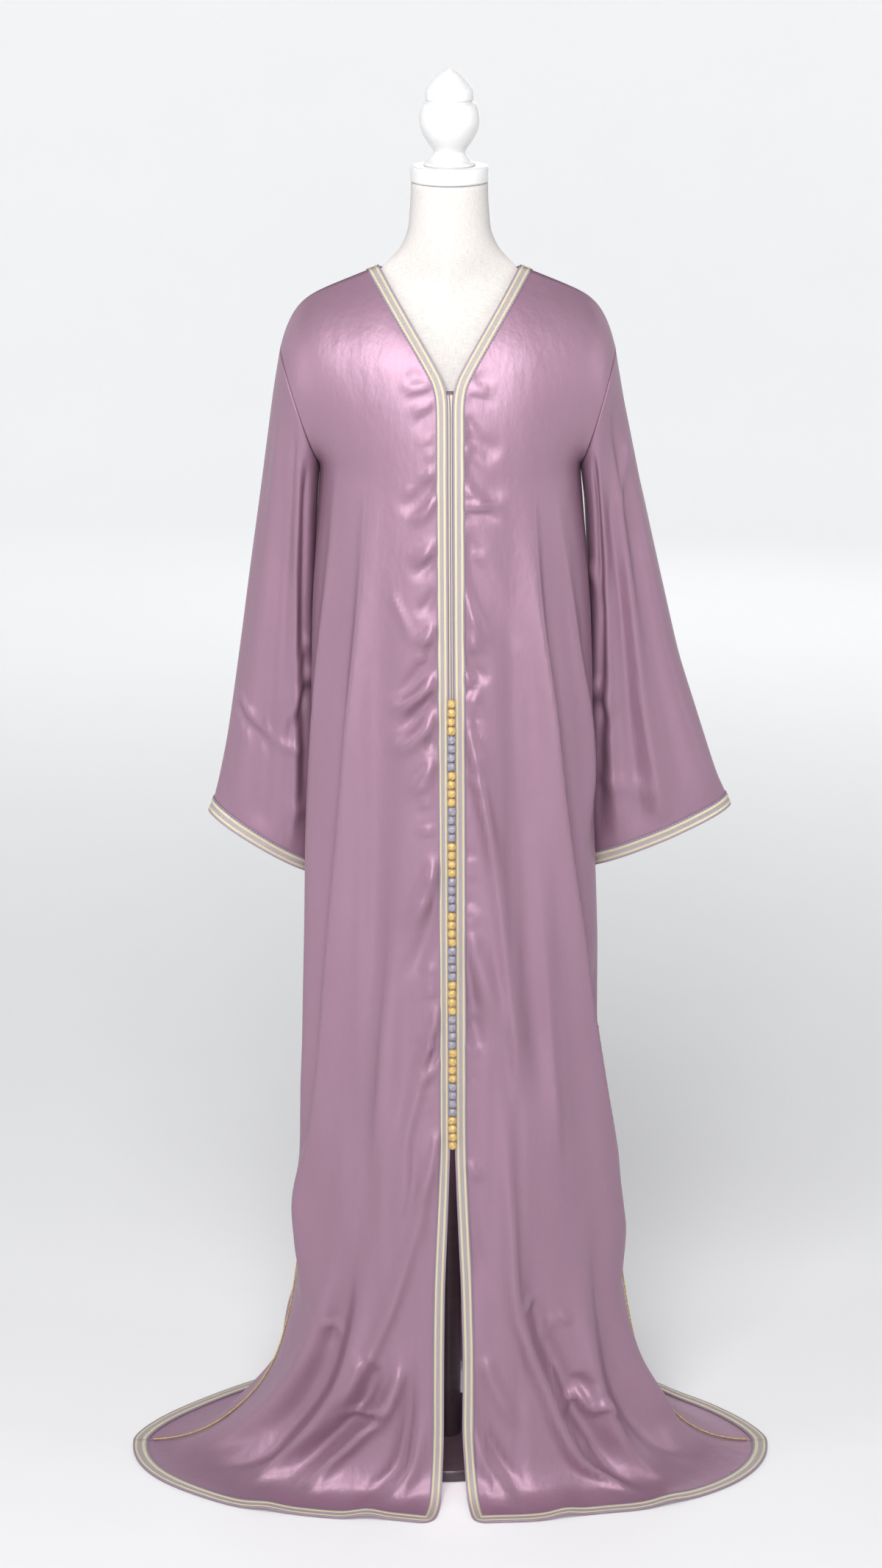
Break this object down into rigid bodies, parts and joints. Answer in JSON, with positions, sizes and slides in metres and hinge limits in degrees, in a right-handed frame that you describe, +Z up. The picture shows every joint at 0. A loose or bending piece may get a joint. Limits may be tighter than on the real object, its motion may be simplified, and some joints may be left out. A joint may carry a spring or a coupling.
{
  "type": "moroccan kaftan on a dress form",
  "caption": "Floor-length satin kaftan with V neck, long sleeves, braided edges, knot buttons and a front slit, standing on a limbless dress form.",
  "frame": {"origin": "on the floor, on the axis of the form's pole, at the centre of the base's underside", "axes": "+Z up; the front of the kaftan faces -Y, so the wearer's left is +X"},
  "size_m": [0.8465, 0.4749, 1.805],
  "materials": {
    "satin": "soft satin sheen",
    "braid": "woven braid of metallic and matt cord",
    "gold_cord": "twisted gold silk cord",
    "silver_cord": "twisted silver-lilac silk cord",
    "zip_tape": "matt tape",
    "linen": "matt linen cover",
    "white_lacquer": "white gloss lacquer",
    "dark_metal": "dark satin paint"
  },
  "bodies": {
    "root": {"front_left": "satin", "front_right": "satin", "back": "satin", "sleeve_left": "satin", "sleeve_right": "satin", "edge_braid_left": "braid", "edge_braid_right": "braid", "neck_braid_back": "braid", "hem_braid_front_left": "braid", "hem_braid_front_right": "braid", "hem_braid_back": "braid", "cuff_braid_left": "braid", "cuff_braid_right": "braid", "knots_01": "gold_cord", "knots_02": "silver_cord", "knots_03": "gold_cord", "knots_04": "silver_cord", "knots_05": "gold_cord", "knots_06": "silver_cord", "knots_07": "gold_cord", "knots_08": "silver_cord", "knots_09": "gold_cord", "knots_10": "silver_cord", "knots_11": "gold_cord", "knots_12": "silver_cord", "knots_13": "gold_cord", "side_cord_left": "gold_cord", "side_cord_right": "gold_cord", "closure_strip": "zip_tape", "form_torso": "linen", "neck_disc": "white_lacquer", "finial": "white_lacquer", "pole": "dark_metal", "base": "dark_metal"}
  },
  "joints": []
}
